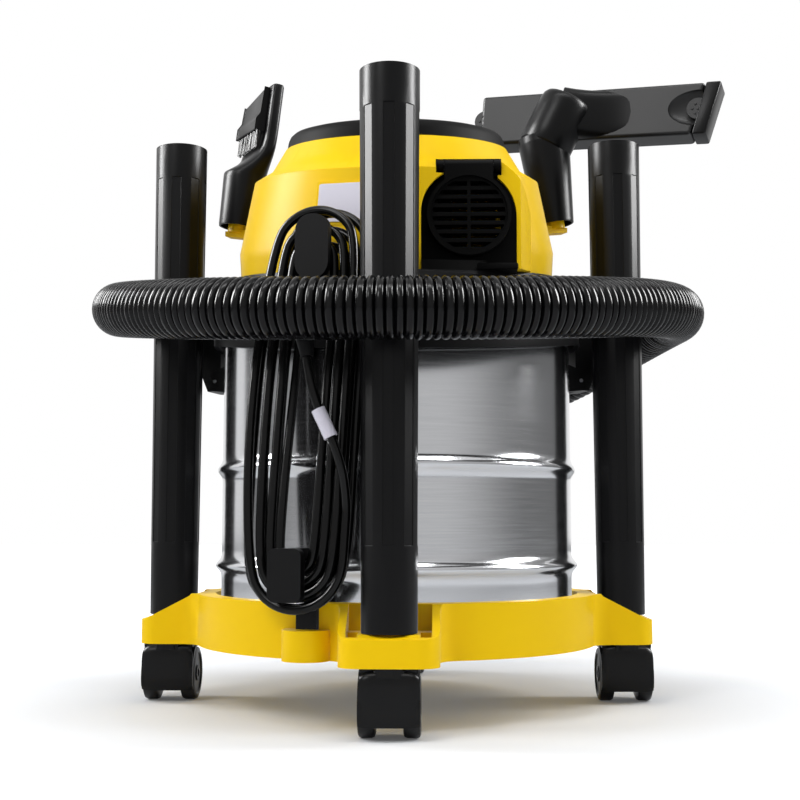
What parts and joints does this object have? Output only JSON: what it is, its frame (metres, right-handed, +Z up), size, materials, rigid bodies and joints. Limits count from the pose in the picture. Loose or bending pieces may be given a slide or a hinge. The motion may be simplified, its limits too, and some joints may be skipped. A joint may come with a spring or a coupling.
{
  "type": "shop vacuum cleaner",
  "caption": "Drum vacuum cleaner on casters with a motor head, ribbed suction hose, parked extension tubes, nozzles and a wound power cord.",
  "frame": {"origin": "on the floor under the drum's axis", "axes": "+Z up, -Y towards the cord and exhaust side, +X to the right seen from there"},
  "size_m": [0.5072, 0.4714, 0.5069],
  "materials": {
    "yellow_plastic": "moulded, satin gloss",
    "black_plastic": "fine grain",
    "wheel_plastic": "smooth",
    "stainless_steel": "rolled, semi-bright",
    "zinc": "zinc plated",
    "seal_rubber": "soft",
    "hose_plastic": "satin, ribbed",
    "cord_rubber": "satin",
    "pale_film": "blank",
    "bristle": "bristle",
    "motor_steel": "plain",
    "filter_paper": "pleated",
    "float_plastic": "plain"
  },
  "bodies": {
    "machine": {"chassis": "yellow_plastic", "head_cover": "yellow_plastic", "head_collar": "black_plastic", "inlet_port": "black_plastic", "top_dome": "black_plastic", "exhaust_housing": "black_plastic", "power_switch": "black_plastic", "latch_brackets": "black_plastic", "hose_cradle": "black_plastic", "cord_hook_upper": "black_plastic", "cord_hook_lower": "black_plastic", "cord_gland": "black_plastic", "hose_cuff": "black_plastic", "hand_tube": "black_plastic", "plug": "black_plastic", "float_cage": "black_plastic", "filter_cap": "black_plastic", "fan_casing": "black_plastic", "drum": "stainless_steel", "drum_screws": "zinc", "inlet_screws": "zinc", "handle_pins": "zinc", "flap_pin": "zinc", "latch_pins": "zinc", "head_seal": "seal_rubber", "rating_plate": "pale_film", "cord_sleeve": "pale_film", "suction_hose": "hose_plastic", "power_cord_hank": "cord_rubber", "power_cord_tail": "cord_rubber", "motor_can": "motor_steel", "motor_stator": "motor_steel", "bearing_lower": "zinc", "bearing_upper": "zinc", "filter_cartridge": "filter_paper"},
    "handle": {"carry_handle": "black_plastic"},
    "flap": {"exhaust_flap": "black_plastic"},
    "knob": {"switch_knob": "black_plastic"},
    "rotor": {"motor_rotor": "motor_steel", "fan_wheel": "black_plastic"},
    "float": {"float_ball": "float_plastic"},
    "latch_left": {"latch_left": "black_plastic"},
    "latch_right": {"latch_right": "black_plastic"},
    "tube_left": {"extension_tube_left": "black_plastic"},
    "tube_rear": {"extension_tube_rear": "black_plastic"},
    "tube_right": {"extension_tube_right": "black_plastic"},
    "floor_tool": {"floor_nozzle": "black_plastic", "floor_nozzle_neck": "black_plastic", "floor_nozzle_clips": "wheel_plastic", "floor_nozzle_lips": "seal_rubber"},
    "brush_tool": {"brush_nozzle": "black_plastic", "brush_strip": "bristle"},
    "caster_rear": {"caster_hood_rear": "black_plastic"},
    "wheels_rear": {"caster_wheels_rear": "wheel_plastic"},
    "caster_right": {"caster_hood_right": "black_plastic"},
    "wheels_right": {"caster_wheels_right": "wheel_plastic"},
    "caster_front": {"caster_hood_front": "black_plastic"},
    "wheels_front": {"caster_wheels_front": "wheel_plastic"},
    "caster_left": {"caster_hood_left": "black_plastic"},
    "wheels_left": {"caster_wheels_left": "wheel_plastic"}
  },
  "joints": [
    {"name": "handle_swing", "type": "hinge", "parent": "machine", "child": "handle", "pos_m": [0, 0.01746, 0.4461], "axis": [1, 0, 0], "range_deg": [0, 90]},
    {"name": "flap_swing", "type": "hinge", "parent": "machine", "child": "flap", "pos_m": [0.0535, -0.108, 0.385], "axis": [-1, 0, 0], "range_deg": [0, 80]},
    {"name": "knob_turn", "type": "hinge", "parent": "machine", "child": "knob", "pos_m": [0, 0.12, 0.385], "axis": [0, 1, 0], "range_deg": [0, 90]},
    {"name": "rotor_spin", "type": "hinge", "parent": "machine", "child": "rotor", "pos_m": [0, 0, 0.36], "axis": [0, 0, 1], "continuous": true},
    {"name": "float_rise", "type": "slide", "parent": "machine", "child": "float", "axis": [0, 0, 1], "range_m": [0, 0.022]},
    {"name": "latch_left_swing", "type": "hinge", "parent": "machine", "child": "latch_left", "pos_m": [-0.14135, 0.03656, 0.2476], "axis": [-0.2504, -0.9681, 0], "range_deg": [0, 50]},
    {"name": "latch_right_swing", "type": "hinge", "parent": "machine", "child": "latch_right", "pos_m": [0.14135, 0.03656, 0.2476], "axis": [-0.2504, 0.9681, 0], "range_deg": [0, 50]},
    {"name": "tube_left_lift", "type": "slide", "parent": "machine", "child": "tube_left", "axis": [0, 0, 1], "range_m": [0, 0.06]},
    {"name": "tube_rear_lift", "type": "slide", "parent": "machine", "child": "tube_rear", "axis": [0, 0, 1], "range_m": [0, 0.06]},
    {"name": "tube_right_lift", "type": "slide", "parent": "machine", "child": "tube_right", "axis": [0, 0, 1], "range_m": [0, 0.06]},
    {"name": "floor_tool_lift", "type": "slide", "parent": "machine", "child": "floor_tool", "axis": [-0.1191, 0, 0.9929], "range_m": [0, 0.04]},
    {"name": "brush_tool_lift", "type": "slide", "parent": "machine", "child": "brush_tool", "axis": [0.1191, 0, 0.9929], "range_m": [0, 0.04]},
    {"name": "caster_rear_swivel", "type": "hinge", "parent": "machine", "child": "caster_rear", "pos_m": [0, -0.174, 0.046], "axis": [0, 0, 1], "continuous": true},
    {"name": "wheels_rear_roll", "type": "hinge", "parent": "caster_rear", "child": "wheels_rear", "pos_m": [0, -0.16, 0.02], "axis": [1, 0, 0], "continuous": true},
    {"name": "caster_right_swivel", "type": "hinge", "parent": "machine", "child": "caster_right", "pos_m": [0.174, 0, 0.046], "axis": [0, 0, 1], "continuous": true},
    {"name": "wheels_right_roll", "type": "hinge", "parent": "caster_right", "child": "wheels_right", "pos_m": [0.174, 0.014, 0.02], "axis": [1, 0, 0], "continuous": true},
    {"name": "caster_front_swivel", "type": "hinge", "parent": "machine", "child": "caster_front", "pos_m": [0, 0.174, 0.046], "axis": [0, 0, 1], "continuous": true},
    {"name": "wheels_front_roll", "type": "hinge", "parent": "caster_front", "child": "wheels_front", "pos_m": [0, 0.188, 0.02], "axis": [1, 0, 0], "continuous": true},
    {"name": "caster_left_swivel", "type": "hinge", "parent": "machine", "child": "caster_left", "pos_m": [-0.174, 0, 0.046], "axis": [0, 0, 1], "continuous": true},
    {"name": "wheels_left_roll", "type": "hinge", "parent": "caster_left", "child": "wheels_left", "pos_m": [-0.174, 0.014, 0.02], "axis": [1, 0, 0], "continuous": true}
  ]
}
